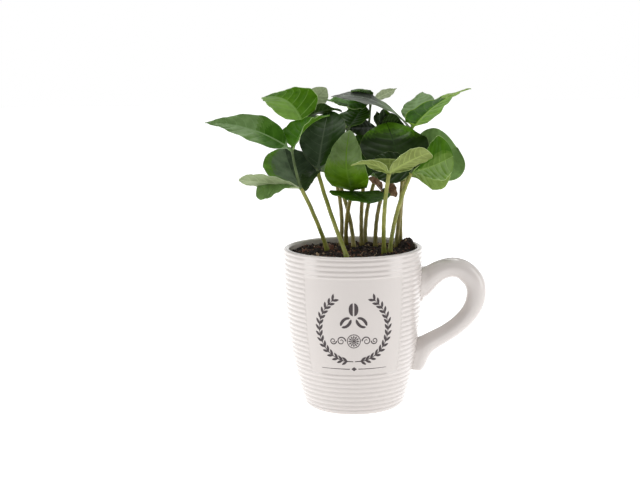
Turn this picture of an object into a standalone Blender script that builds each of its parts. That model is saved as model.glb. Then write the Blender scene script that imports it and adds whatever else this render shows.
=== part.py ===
"""Coffee seedlings in a mug: a ribbed, glazed mug with a half-heart handle, filled with soil, and twelve
slender seedlings standing in it. Blender 4.5, in metres, +Z up.

The origin is the centre of the mug's flat underside. The handle points to +X, and the smooth panel between
the ribs faces -Y. Sizes below are in millimetres and degrees; MM turns them into metres.
"""
import math

import bmesh
import bpy
from mathutils import Matrix, Vector, noise
from mathutils.bvhtree import BVHTree

MM = 0.001
GAP = 0.3          # between pieces that touch
UP = Vector((0, 0, 1))

# The mug: a barrel that narrows towards its foot, with turned ribs
MUG_HEIGHT = 104.0
MUG_RADIUS = 45.0
FOOT_NARROWING = 13.2
BARREL_POWER = 2.72
WALL = 3.6
FLOOR = 5.0
LIP_ROUND = 1.5
FOOT_ROUND = 2.4
FIRST_GROOVE = 2.15
RIB_PITCH = 3.17
GROOVES = 32
RIB_DEPTH = 0.6
MUG_STEPS = 30

# The smooth panel that the ribs leave free
PANEL_HALF_ANGLE = 43.5
PANEL_TOP = 90.5
PANEL_BOTTOM = 28.0
PANEL_DEPTH = 0.95

# The handle's centre line in the plane Y = 0, as (x, z, radius), from its upper root to its lower one
HANDLE_LINE = (
    (38.5, 74.5, 8.0), (41.5, 76.5, 8.3), (44.3, 78.6, 8.5), (47.0, 81.0, 8.1), (51.5, 84.5, 7.2),
    (57.5, 88.0, 6.5), (64.4, 89.5, 6.4), (70.6, 88.1, 6.5), (75.4, 84.4, 6.6), (78.8, 79.6, 6.5),
    (80.1, 73.7, 6.3), (79.3, 67.1, 6.2), (76.9, 61.3, 5.9), (72.4, 55.4, 5.7), (66.3, 49.9, 5.6),
    (59.5, 45.3, 5.6), (52.6, 41.5, 5.9), (47.2, 38.0, 6.5), (43.8, 33.6, 6.6), (42.2, 28.8, 5.9),
    (41.4, 24.8, 5.1), (41.0, 21.8, 3.8),
)
HANDLE_SIDES = 14

# The soil: a little under the rim, rough, with a heap against the wall at the right
SOIL_LEVEL = 100.0
SOIL_RINGS = 8
SOIL_ROUGHNESS = 1.3
SOIL_GRAIN = 9.0
HEAP_PLACE = (36.5, 14.0)
HEAP_HEIGHT = 6.6
HEAP_SPREAD = 7.0
LEVEL_ROUND_STEM = 4.5

# Stems, and the necks that carry the leaves above them
STEM_FOOT_RADIUS = 1.4
STEM_TIP_RADIUS = 1.25
STEM_SIDES = 8
STEM_STEPS = 6
STRAIGHT_FOOT = 2.0
STEM_SHORT_OF_NODE = 2.0
NECK_NODE_RADIUS = 1.3
NECK_TIP_RADIUS = 0.75
NECK_STEPS = 4
BUD_LENGTH = 2.6
BUD_RADIUS = 0.5

# Leaves: segments along and across, thickness, and waves along an edge
SEGMENTS = {"seed": (8, 4), "true": (8, 2)}
LEAF_THICKNESS = 0.8
STALK_HALF_WIDTH = 0.7
TIP_HALF_WIDTH = 0.2
WAVES = 2.5


def seed_leaf(heading, rise, length, width, arch=3, roll=0, fold=10, wave=0, peak=0.43, twist=0, stalk=0.05,
              blunt=(0.58, 0.58)):
    """A round seed leaf on hardly any stalk. heading is its compass angle from +X towards +Y, rise its climb
    from base to tip, arch how far its midrib bows up, roll its turn about the midrib (left side up),
    fold how far each half rises, wave its edge's wave, peak where it is widest, twist its added roll at the
    tip, stalk the stalk's share of its length, and blunt how round it is before its widest place and past
    it: the lower, the rounder."""
    return dict(kind="seed", heading=heading, rise=rise, length=length, width=width, arch=arch, roll=roll,
                fold=fold, wave=wave, peak=peak, twist=twist, stalk=stalk, blunt=blunt)


def true_leaf(heading, rise, length, width, arch=3, roll=0, fold=10, wave=0, peak=0.43, twist=0, stalk=0.08,
              blunt=(0.85, 1.3)):
    """A pointed true leaf on a short stalk, with the same measures as a seed leaf."""
    return dict(kind="true", heading=heading, rise=rise, length=length, width=width, arch=arch, roll=roll,
                fold=fold, wave=wave, peak=peak, twist=twist, stalk=stalk, blunt=blunt)


# Each seedling: its foot (x, y), the node of its seed leaves, the bow of its stem (x, y), the node of its
# true leaves if it has one, the leaves at the first node and those at the second
SEEDLINGS = {
    "01": dict(
        foot=(-17, 3), node=(-32.5, -10, 143.5), bow=(0.8, 0.7), top=(-38, -8, 167),
        low=[seed_leaf(-172, 9, 40, 17, arch=0.5, roll=34, fold=5, peak=0.64, blunt=(0.42, 0.48)),
             seed_leaf(112, 36, 40, 40, arch=-4, roll=-6, fold=14, wave=0.7, peak=0.48, twist=6),
             seed_leaf(-172, -8, 29, 21, arch=5, roll=-30, fold=0, peak=0.72, twist=-2,
                       blunt=(0.52, 0.52))],
        high=[true_leaf(174, 18, 59, 24, arch=5, roll=-37, fold=14, peak=0.32, twist=-13,
                        blunt=(0.85, 1.05)),
              true_leaf(38, 35, 37, 28, arch=5, roll=-6, fold=28, peak=0.24)]),
    "02": dict(
        foot=(-4, -26), node=(-22, 0, 152.5), bow=(-1.1, 4.4), top=None,
        low=[seed_leaf(78, 49, 49, 32, arch=2.5, roll=-8, fold=5, wave=1, peak=0.55),
             seed_leaf(-117, -31, 20, 12, fold=20)],
        high=[]),
    "03": dict(
        foot=(-8, 28), node=(-12, 32, 147.5), bow=(2.3, -0.7), top=(-32.5, 30, 183),
        low=[seed_leaf(150, 5, 38, 40, wave=1), seed_leaf(92, -4, 34, 32, wave=1)],
        high=[seed_leaf(-135, 29, 37, 40, arch=6.5, roll=18, fold=9, peak=0.36, blunt=(0.5, 0.6)),
              true_leaf(48, 43, 32, 14, arch=2.3, roll=57, peak=0.6, twist=5, blunt=(0.9, 0.7)),
              true_leaf(20, 62, 9, 6, arch=1, roll=30, fold=20),
              true_leaf(2, 15, 27, 13, arch=4, roll=-35, fold=12, wave=0.8),
              true_leaf(122, 12, 50, 20, arch=5, fold=12)]),
    "04": dict(
        foot=(-4.5, 26), node=(0, 8, 139), bow=(-1.4, -0.7), top=None,
        low=[seed_leaf(74, 96, 40, 31, arch=11, roll=-9, fold=7, wave=0.7, peak=0.24, blunt=(0.66, 0.54)),
             seed_leaf(-69, -10, 27, 42, arch=0, roll=-4, fold=6, peak=0.46, blunt=(0.5, 0.52))],
        high=[]),
    "05": dict(
        foot=(0.5, 15), node=(-9.5, 24, 144.5), bow=(1.7, 1.4), top=(-2, 31, 178.5),
        low=[],
        high=[true_leaf(54, 39, 25, 24, arch=0, roll=3, fold=9, peak=0.37, blunt=(0.75, 1.3)),
              true_leaf(130, 6, 42, 20, arch=4, fold=12)]),
    "06": dict(
        foot=(6, 24), node=(8, 34, 143.5), bow=(-1, -2.8), top=(13, 48, 195),
        low=[seed_leaf(135, 35, 34, 34, wave=1),
             seed_leaf(59, 80, 35, 26, arch=2, fold=5, wave=1)],
        high=[true_leaf(20, 25, 21, 11, arch=0, roll=20, fold=5, peak=0.53, twist=8),
              true_leaf(-145, 4, 36, 20, arch=-1.3, roll=-23, fold=2, peak=0.44, twist=-3),
              true_leaf(-131, 21, 21, 16, arch=5, roll=9, fold=-11, peak=0.47, twist=-8,
                        blunt=(0.85, 0.95)),
              true_leaf(110, -20, 40, 20, arch=5, fold=12)]),
    "07": dict(
        foot=(8.5, 32), node=(16, 44, 143.5), bow=(-2.2, -1.5), top=(17.5, 38, 178.5),
        low=[seed_leaf(75, 20, 38, 38, wave=1)],
        high=[true_leaf(-108, 79, 11, 9, arch=2, fold=30),
              true_leaf(5, 27, 15, 17, arch=3, roll=-35, fold=15, wave=0.8),
              true_leaf(8, 1, 19, 18, arch=2, roll=-48, fold=6),
              true_leaf(188, 0, 25, 19, arch=0, roll=-33, fold=4, peak=0.42)]),
    "08": dict(
        foot=(15, 18), node=(20, 14, 137.5), bow=(-1.4, 0.7), top=None,
        low=[seed_leaf(-155, 42, 14, 10, arch=1, roll=-40, fold=20),
             seed_leaf(-20, -15, 10, 10, roll=55, fold=20)],
        high=[]),
    "09": dict(
        foot=(20, -9), node=(23, -23, 153.5), bow=(-1.4, -0.3), top=None,
        low=[seed_leaf(-23, 27, 30, 15.5, arch=1, roll=-40, fold=7, peak=0.72, stalk=0.02,
                       blunt=(0.2, 0.3)),
             seed_leaf(-172, 13, 24.5, 10, arch=3.3, roll=25, fold=12, peak=0.28, stalk=0.03,
                       blunt=(0.2, 0.58)),
             seed_leaf(68, 78, 9, 30, arch=0, roll=12, fold=-8, peak=0.55, stalk=0.02, blunt=(0.5, 0.3))],
        high=[]),
    "10": dict(
        foot=(24, -5), node=(37.5, -8, 152), bow=(-2.1, 0.5), top=None,
        low=[seed_leaf(-17.5, 22, 29, 36, arch=-1, roll=46, fold=14, wave=0.6, peak=0.72,
                       twist=4.5, blunt=(0.59, 0.4)),
             seed_leaf(175, 14, 27, 24, arch=0, roll=-52, fold=3, peak=0.48, blunt=(0.54, 0.7))],
        high=[]),
    "11": dict(
        foot=(28.5, 13), node=(32.5, 7, 146), bow=(0.4, 1.5), top=None,
        low=[seed_leaf(109, 51, 46, 47, arch=3, roll=-6, fold=-1, wave=1, peak=0.51, blunt=(0.6, 0.65)),
             seed_leaf(-19, 5, 32, 29, arch=5, roll=48, fold=0, peak=0.72, blunt=(0.75, 0.6))],
        high=[]),
    "12": dict(
        foot=(32, 20), node=(35, 23, 145.5), bow=(-1.5, -0.7), top=(39.8, 35, 177),
        low=[seed_leaf(14, 28, 41, 39, arch=2, roll=70, fold=-2, wave=1.3, peak=0.68, blunt=(0.58, 0.3)),
             seed_leaf(61, 20, 34, 36, wave=1)],
        high=[true_leaf(-36, 31, 53, 34, arch=4.4, roll=-7, fold=2.5, peak=0.21, twist=6.5,
                        blunt=(0.76, 1.28)),
              true_leaf(-175, 23, 58, 18, arch=8, roll=-10, fold=1, peak=0.57, twist=-18,
                        blunt=(0.94, 1.12)),
              true_leaf(71, 40, 37, 25, arch=4, roll=-11, fold=-7, peak=0.54, twist=-9)]),
}

# Seedlings whose stems are still green, and the one that carries only dry husk
GREEN_STEMS = ("01", "02", "09", "10")
HUSKS = ("08",)


def clear_scene():
    for obj in list(bpy.data.objects):
        bpy.data.objects.remove(obj, do_unlink=True)


def new_collection(name):
    collection = bpy.data.collections.new(name)
    bpy.context.scene.collection.children.link(collection)
    return collection


def linear(hex_colour):
    """The linear RGBA of an sRGB hex colour."""
    parts = [int(hex_colour[i:i + 2], 16) / 255 for i in (0, 2, 4)]
    return [c / 12.92 if c <= 0.04045 else ((c + 0.055) / 1.055) ** 2.4 for c in parts] + [1]


def new_material(name, hex_colour, roughness, coat=0.0):
    made = bpy.data.materials.new(name)
    made.use_nodes = True
    shader = made.node_tree.nodes["Principled BSDF"]
    shader.inputs["Base Color"].default_value = linear(hex_colour)
    shader.inputs["Roughness"].default_value = roughness
    shader.inputs["Metallic"].default_value = 0.0
    shader.inputs["Coat Weight"].default_value = coat
    made.diffuse_color = linear(hex_colour)
    return made


def add_object(name, data, collection, place=(0, 0, 0)):
    obj = bpy.data.objects.new(name, data)
    obj.matrix_world = Matrix.Translation(Vector(place) * MM)
    collection.objects.link(obj)
    return obj


def add_cutter(name, data, cutters):
    obj = add_object(name, data, cutters)
    obj.hide_render = True
    obj.display_type = "WIRE"
    return obj


def set_screw(obj):
    """Turns the object's profile about Z."""
    screw = obj.modifiers.new("turn", "SCREW")
    screw.axis = "Z"
    screw.steps = MUG_STEPS
    screw.render_steps = MUG_STEPS
    screw.use_merge_vertices = True
    screw.merge_threshold = 0.00005


def set_cut(obj, cutter):
    difference = obj.modifiers.new("cut", "BOOLEAN")
    difference.operation = "DIFFERENCE"
    difference.object = cutter
    difference.solver = "EXACT"


def profile_mesh(name, points):
    """An open chain of (radius, height) points in the plane Y = 0."""
    shape = bmesh.new()
    verts = [shape.verts.new((r * MM, 0, z * MM)) for r, z in points]
    for a, b in zip(verts, verts[1:]):
        shape.edges.new((a, b))
    data = bpy.data.meshes.new(name)
    shape.to_mesh(data)
    shape.free()
    return data


def made_mesh(obj):
    """Puts a plain mesh object, welded, in the place of an object with its modifiers or of a curve."""
    name = obj.name
    place = obj.matrix_world.copy()
    collection = obj.users_collection[0]
    graph = bpy.context.evaluated_depsgraph_get()
    data = bpy.data.meshes.new_from_object(obj.evaluated_get(graph), depsgraph=graph)
    bpy.data.objects.remove(obj, do_unlink=True)
    shape = bmesh.new()
    shape.from_mesh(data)
    bmesh.ops.remove_doubles(shape, verts=shape.verts, dist=0.000002)
    shape.to_mesh(data)
    shape.free()
    made = bpy.data.objects.new(name, data)
    made.matrix_world = place
    collection.objects.link(made)
    return made


def add_tube(name, points, radii, sides, collection, place=(0, 0, 0)):
    """A round tube with flat ends along points, as a closed mesh."""
    curve = bpy.data.curves.new(name, "CURVE")
    curve.dimensions = "3D"
    curve.bevel_depth = MM
    curve.bevel_resolution = (sides - 4) // 2
    curve.use_fill_caps = True
    spline = curve.splines.new("POLY")
    spline.points.add(len(points) - 1)
    for point, at, radius in zip(spline.points, points, radii):
        point.co = (*(Vector(at) * MM), 1)
        point.radius = radius
    return made_mesh(add_object(name, curve, collection, place))


def shade_round(obj, angle):
    obj.data.shade_smooth()
    obj.data.set_sharp_from_angle(angle=math.radians(angle))


def bend(start, control, end, share):
    """The point at a share of a quadratic curve."""
    return (1 - share) ** 2 * start + 2 * share * (1 - share) * control + share ** 2 * end


def barrel_radius(z):
    """The radius over the ribs' crests at the height z."""
    return MUG_RADIUS - FOOT_NARROWING * ((MUG_HEIGHT - z) / MUG_HEIGHT) ** BARREL_POWER


def round_edge(centre_r, centre_z, radius, start, end):
    """Three points of a quarter round in the plane of the profile."""
    turns = [math.radians(start + (end - start) * i / 2) for i in range(3)]
    return [(centre_r + radius * math.cos(a), centre_z + radius * math.sin(a)) for a in turns]


def inner_wall(inset):
    """Points up the inside of the wall from the floor to the soil's level, set in by inset."""
    return [(barrel_radius(z) - WALL - inset, z) for z in (FLOOR + inset, 10, 22, 38, 58, 80, SOIL_LEVEL)]


def mug_profile():
    """From the middle of the floor up the inside, over the lip, down the ribs and under the foot."""
    lip = MUG_HEIGHT - LIP_ROUND
    points = [(0, FLOOR)] + inner_wall(0)
    points += round_edge(MUG_RADIUS - WALL + LIP_ROUND, lip, LIP_ROUND, 180, 90)
    points += round_edge(MUG_RADIUS - LIP_ROUND, lip, LIP_ROUND, 90, 0)
    for i in range(GROOVES):
        z = MUG_HEIGHT - FIRST_GROOVE - RIB_PITCH * i
        crest = z - RIB_PITCH / 2
        points.append((barrel_radius(z) - RIB_DEPTH, z))
        if i < GROOVES - 1:
            points.append((barrel_radius(crest), crest))
    points += round_edge(barrel_radius(0) - FOOT_ROUND, FOOT_ROUND, FOOT_ROUND, 0, -90)
    points.append((0, 0))
    return points


def make_panel_cutter(cutters):
    """A sector that takes the ribs off the panel and leaves a smooth face just under their grooves."""
    heights = [PANEL_BOTTOM + (PANEL_TOP - PANEL_BOTTOM) * i / 6 for i in range(7)]
    outline = [(barrel_radius(z) - PANEL_DEPTH, z) for z in heights]
    outline += [(MUG_RADIUS + 6, PANEL_TOP), (MUG_RADIUS + 6, PANEL_BOTTOM)]
    shape = bmesh.new()
    verts = [shape.verts.new((r * MM, 0, z * MM)) for r, z in outline]
    face = shape.faces.new(verts)
    bmesh.ops.spin(shape, geom=[face, *face.edges, *face.verts], cent=(0, 0, 0), axis=(0, 0, 1),
                   angle=math.radians(2 * PANEL_HALF_ANGLE), steps=8, use_duplicate=False)
    turn = Matrix.Rotation(math.radians(-90 - PANEL_HALF_ANGLE), 3, "Z")
    bmesh.ops.rotate(shape, verts=shape.verts, cent=(0, 0, 0), matrix=turn)
    bmesh.ops.recalc_face_normals(shape, faces=shape.faces)
    data = bpy.data.meshes.new("panel_cutter")
    shape.to_mesh(data)
    shape.free()
    return add_cutter("panel_cutter", data, cutters)


def make_mug(plant, cutters, glaze):
    data = profile_mesh("mug_body", mug_profile())
    data.materials.append(glaze)
    mug = add_object("mug_body", data, plant)
    set_screw(mug)
    set_cut(mug, make_panel_cutter(cutters))


def make_handle(plant, cutters, glaze):
    """A round loop that flares into its two roots, cut to stand on the ribs."""
    points = [(x, 0, z) for x, z, radius in HANDLE_LINE]
    radii = [radius for x, z, radius in HANDLE_LINE]
    handle = add_tube("mug_handle", points, radii, HANDLE_SIDES, plant)
    handle.data.materials.append(glaze)
    shade_round(handle, 40)
    heights = [MUG_HEIGHT * i / 12 for i in range(12, -1, -1)]
    outline = [(0, MUG_HEIGHT)] + [(barrel_radius(z) + GAP, z) for z in heights] + [(0, 0)]
    trim = add_cutter("handle_trim", profile_mesh("handle_trim", outline), cutters)
    set_screw(trim)
    set_cut(handle, trim)


def soil_height(x, y):
    """The soil's rough surface, level where a stem stands."""
    rough = SOIL_ROUGHNESS * noise.noise(Vector((x, y, 3)) / SOIL_GRAIN)
    heap = (Vector((x, y)) - Vector(HEAP_PLACE)).length / HEAP_SPREAD
    height = rough + HEAP_HEIGHT * math.exp(-heap ** 2)
    nearest = min((Vector((x, y)) - Vector(row["foot"])).length for row in SEEDLINGS.values())
    return SOIL_LEVEL + height * min(1, nearest / LEVEL_ROUND_STEM)


def make_soil(plant, finish):
    """A plug that fills the mug, with a rough top."""
    edge = barrel_radius(SOIL_LEVEL) - WALL - GAP
    top = [(edge * i / SOIL_RINGS, SOIL_LEVEL) for i in range(SOIL_RINGS)]
    side = list(reversed(inner_wall(GAP)))
    data = profile_mesh("soil", top + side + [(0, FLOOR + GAP)])
    data.materials.append(finish)
    soil = add_object("soil", data, plant)
    set_screw(soil)
    soil = made_mesh(soil)
    for vert in soil.data.vertices:
        if vert.co.z > (SOIL_LEVEL - 1) * MM:
            vert.co.z = soil_height(vert.co.x / MM, vert.co.y / MM) * MM
    shade_round(soil, 60)
    return soil


def ground_under(foot, surface):
    """The highest point of the soil under a stem's flat foot."""
    hits = []
    for i in range(9):
        reach = 0 if i == 8 else STEM_FOOT_RADIUS
        x = foot[0] + reach * math.cos(math.tau * i / 8)
        y = foot[1] + reach * math.sin(math.tau * i / 8)
        hits.append(surface.ray_cast(Vector((x, y, 150)) * MM, -UP)[0].z / MM)
    return max(hits)


def make_stem(name, row, surface, plant, bark):
    """A tapering stem from a flat foot on the soil to just under its first node. Returns its end's
    direction."""
    foot = Vector((*row["foot"], ground_under(row["foot"], surface) + GAP))
    node = Vector(row["node"])
    start = foot + UP * STRAIGHT_FOOT
    control = (start + node) / 2 + 2 * Vector((*row["bow"], 0))
    along = (node - control).normalized()
    end = node - along * STEM_SHORT_OF_NODE
    points = [foot] + [bend(start, control, end, i / STEM_STEPS) for i in range(STEM_STEPS + 1)]
    radii = [STEM_FOOT_RADIUS + (STEM_TIP_RADIUS - STEM_FOOT_RADIUS) * i / (STEM_STEPS + 1)
             for i in range(STEM_STEPS + 2)]
    stem = add_tube("stem_" + name, [p - foot for p in points], radii, STEM_SIDES, plant, foot)
    stem.data.materials.append(bark)
    shade_round(stem, 50)
    return along


def half_width(leaf, share):
    """Half the blade's width at a share of its length."""
    stalk = leaf["stalk"]
    blade = max(0, (share - stalk) / (1 - stalk)) ** (math.log(0.5) / math.log(leaf["peak"]))
    swell = max(0, math.sin(math.pi * blade)) ** leaf["blunt"][0 if blade < 0.5 else 1]
    least = TIP_HALF_WIDTH + (STALK_HALF_WIDTH - TIP_HALF_WIDTH) * (1 - blade)
    return max(swell * leaf["width"] / 2, least)


def add_leaf(leaf, root, collection):
    """A thin closed blade from its root, shaped from a flat grid."""
    heading = math.radians(leaf["heading"])
    rise = math.radians(leaf["rise"])
    level = Vector((math.cos(heading), math.sin(heading), 0))
    reach = level * math.cos(rise) + UP * math.sin(rise)
    left = UP.cross(level)
    above = reach.cross(left)
    tip = root + reach * leaf["length"]
    control = (root + tip) / 2 + above * 2 * leaf["arch"]
    along, across = SEGMENTS[leaf["kind"]]
    shape = bmesh.new()
    bmesh.ops.create_grid(shape, x_segments=along, y_segments=across, size=1)
    for vert in shape.verts:
        share = 0.5 - 0.5 * math.cos(math.pi * (vert.co.x + 1) / 2)
        side = vert.co.y
        turn = math.radians(leaf["roll"] + leaf["twist"] * share)
        outward = math.cos(turn) * left + math.sin(turn) * above
        normal = math.cos(turn) * above - math.sin(turn) * left
        fold = math.radians(leaf["fold"]) * min(1, 6 * share, 6 * (1 - share))
        half = half_width(leaf, share)
        wave = leaf["wave"] * math.sin(math.tau * (WAVES * share + math.copysign(0.2, side))) * side ** 2
        point = bend(root, control, tip, share) + outward * half * side * math.cos(fold)
        point += normal * (half * abs(side) * math.sin(fold) + wave)
        vert.co = point * MM
    data = bpy.data.meshes.new("leaf")
    shape.to_mesh(data)
    shape.free()
    blade = add_object("leaf", data, collection)
    solid = blade.modifiers.new("thickness", "SOLIDIFY")
    solid.thickness = LEAF_THICKNESS * MM
    solid.offset = 0
    return blade


def neck_line(row, along):
    """Points and radii of the neck: from just over the stem's end, through the nodes, to a bud."""
    node = Vector(row["node"])
    points = [node - along * (STEM_SHORT_OF_NODE - GAP), node]
    radii = [STEM_TIP_RADIUS, NECK_NODE_RADIUS]
    tip = node
    if row["top"]:
        tip = Vector(row["top"])
        control = node + (along * (tip - node).length + tip - node) / 4
        for i in range(1, NECK_STEPS + 1):
            points.append(bend(node, control, tip, i / NECK_STEPS))
            radii.append(NECK_NODE_RADIUS + (NECK_TIP_RADIUS - NECK_NODE_RADIUS) * i / NECK_STEPS)
        along = (tip - control).normalized()
    points.append(tip + along * BUD_LENGTH)
    radii.append(BUD_RADIUS)
    return points, radii


def make_crown(name, row, along, plant, finish):
    """A seedling's leaves, joined to the neck that they grow from."""
    node = Vector(row["node"])
    points, radii = neck_line(row, along)
    crown = add_tube("crown_" + name, [p - node for p in points], radii, STEM_SIDES, plant)
    leaves = bpy.data.collections.new("leaves_" + name)
    for leaf in row["low"]:
        add_leaf(leaf, Vector(), leaves)
    for leaf in row["high"]:
        add_leaf(leaf, Vector(row["top"]) - node, leaves)
    union = crown.modifiers.new("leaves", "BOOLEAN")
    union.operation = "UNION"
    union.operand_type = "COLLECTION"
    union.collection = leaves
    # The exact solver leaves two leaves of one crown touching along an edge
    union.solver = "MANIFOLD"
    crown = made_mesh(crown)
    for obj in list(leaves.objects):
        bpy.data.objects.remove(obj, do_unlink=True)
    bpy.data.collections.remove(leaves)
    crown.matrix_world = Matrix.Translation(node * MM)
    crown.data.materials.clear()
    crown.data.materials.append(finish)
    shade_round(crown, 40)


def make_plant():
    clear_scene()
    plant = new_collection("coffee_seedlings_in_a_mug")
    cutters = new_collection("cutters")
    glaze = new_material("white_glaze", "E6E0DA", 0.2, coat=0.5)
    earth = new_material("potting_soil", "3A2A22", 0.95)
    green_stem = new_material("green_stem", "8C8A3E", 0.5)
    brown_stem = new_material("brown_stem", "7A6A3C", 0.6)
    leaf = new_material("coffee_leaf", "3F7A33", 0.35, coat=0.3)
    husk = new_material("dry_husk", "8A6238", 0.8)
    make_mug(plant, cutters, glaze)
    make_handle(plant, cutters, glaze)
    soil = make_soil(plant, earth)
    surface = BVHTree.FromObject(soil, bpy.context.evaluated_depsgraph_get())
    for name, row in SEEDLINGS.items():
        along = make_stem(name, row, surface, plant, green_stem if name in GREEN_STEMS else brown_stem)
        make_crown(name, row, along, plant, husk if name in HUSKS else leaf)
    root = add_object("seedlings_in_mug", None, plant)
    for obj in plant.objects:
        if obj != root:
            obj.parent = root


make_plant()
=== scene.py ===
"""Coffee seedlings in a ribbed mug: the fine surfaces over the plain solids, in a white studio.

Sizes are in millimetres and degrees, and MM turns them into metres. The handle points to +X and the mug's
smooth panel faces -Y, towards the camera.
"""
import math

import bmesh
import bpy
import numpy as np
from mathutils import Matrix, Vector, noise


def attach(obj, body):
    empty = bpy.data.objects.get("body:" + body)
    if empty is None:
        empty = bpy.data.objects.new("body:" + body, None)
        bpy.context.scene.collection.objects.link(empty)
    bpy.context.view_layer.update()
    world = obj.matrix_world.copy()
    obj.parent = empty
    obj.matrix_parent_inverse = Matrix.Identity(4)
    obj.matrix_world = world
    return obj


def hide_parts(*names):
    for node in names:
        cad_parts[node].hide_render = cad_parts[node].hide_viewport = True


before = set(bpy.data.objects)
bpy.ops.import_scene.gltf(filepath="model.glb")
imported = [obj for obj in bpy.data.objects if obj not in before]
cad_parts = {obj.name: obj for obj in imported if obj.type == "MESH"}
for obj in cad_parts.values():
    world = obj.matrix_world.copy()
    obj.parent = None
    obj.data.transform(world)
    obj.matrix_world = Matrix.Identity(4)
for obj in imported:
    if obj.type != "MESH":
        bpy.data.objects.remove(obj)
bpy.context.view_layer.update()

MM = 0.001
UP = np.array((0.0, 0.0, 1.0))
rng = np.random.default_rng(11)
# The husk's creases come out the same each time
noise.seed_set(11)

# The mug, as its solid has it, with its ribs a little shallower
MUG_HEIGHT = 104.0
MUG_RADIUS = 45.0
FOOT_NARROWING = 13.2
BARREL_POWER = 2.72
WALL = 3.6
FLOOR = 5.0
LIP_ROUND = 1.5
FOOT_ROUND = 2.4
FIRST_GROOVE = 2.15
RIB_PITCH = 3.17
RIB_DEPTH = 0.5
PANEL_HALF_ANGLE = 43.5
PANEL_TOP = 90.5
PANEL_BOTTOM = 28.0
PANEL_SET_BACK = 0.55
HANDLE_LINE = (
    (38.5, 74.5, 8.0), (41.5, 76.5, 8.3), (44.3, 78.6, 8.5), (47.0, 81.0, 8.1), (51.5, 84.5, 7.2),
    (57.5, 88.0, 6.5), (64.4, 89.5, 6.4), (70.6, 88.1, 6.5), (75.4, 84.4, 6.6), (78.8, 79.6, 6.5),
    (80.1, 73.7, 6.3), (79.3, 67.1, 6.2), (76.9, 61.3, 5.9), (72.4, 55.4, 5.7), (66.3, 49.9, 5.6),
    (59.5, 45.3, 5.6), (52.6, 41.5, 5.9), (47.2, 38.0, 6.5), (43.8, 33.6, 6.6), (42.2, 28.8, 5.9),
    (41.4, 24.8, 5.1), (41.0, 21.8, 3.8),
)

# The soil
SOIL_LEVEL = 100.0
SOIL_ROUGHNESS = 1.3
SOIL_GRAIN = 9.0
HEAP_PLACE = (36.5, 14.0)
HEAP_HEIGHT = 6.6
HEAP_SPREAD = 7.0
LEVEL_ROUND_STEM = 4.5

# Stems, necks and leaves
STEM_FOOT_RADIUS = 1.4
STEM_TIP_RADIUS = 1.25
STRAIGHT_FOOT = 2.0
NECK_NODE_RADIUS = 1.3
NECK_TIP_RADIUS = 0.75
BUD_LENGTH = 2.6
STALK_HALF_WIDTH = 0.7
TIP_HALF_WIDTH = 0.2
WAVES = 2.5
BLADE = 0.45        # a leaf's thickness
VEIN = 0.5          # a side vein's width


def seed_leaf(tint, heading, rise, length, width, arch=3, roll=0, fold=10, wave=0, peak=0.43, twist=0,
              stalk=0.05, blunt=(0.58, 0.58), patches=()):
    """A round seed leaf: its measures as in the solids, its tint, and patches of painted light and painted
    shade, each the side or end of the blade, the share past which it begins, and its finish."""
    return dict(kind="seed", tint=tint, heading=heading, rise=rise, length=length, width=width, arch=arch,
                roll=roll, fold=fold, wave=wave, peak=peak, twist=twist, stalk=stalk, blunt=blunt,
                patches=patches)


def true_leaf(tint, heading, rise, length, width, stalk=0.08, blunt=(0.85, 1.3), **measures):
    """A pointed true leaf, with the same measures."""
    leaf = seed_leaf(tint, heading, rise, length, width, stalk=stalk, blunt=blunt, **measures)
    return {**leaf, "kind": "true"}


# A leaf's finishes; the last two are patches of painted light and painted shade
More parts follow.
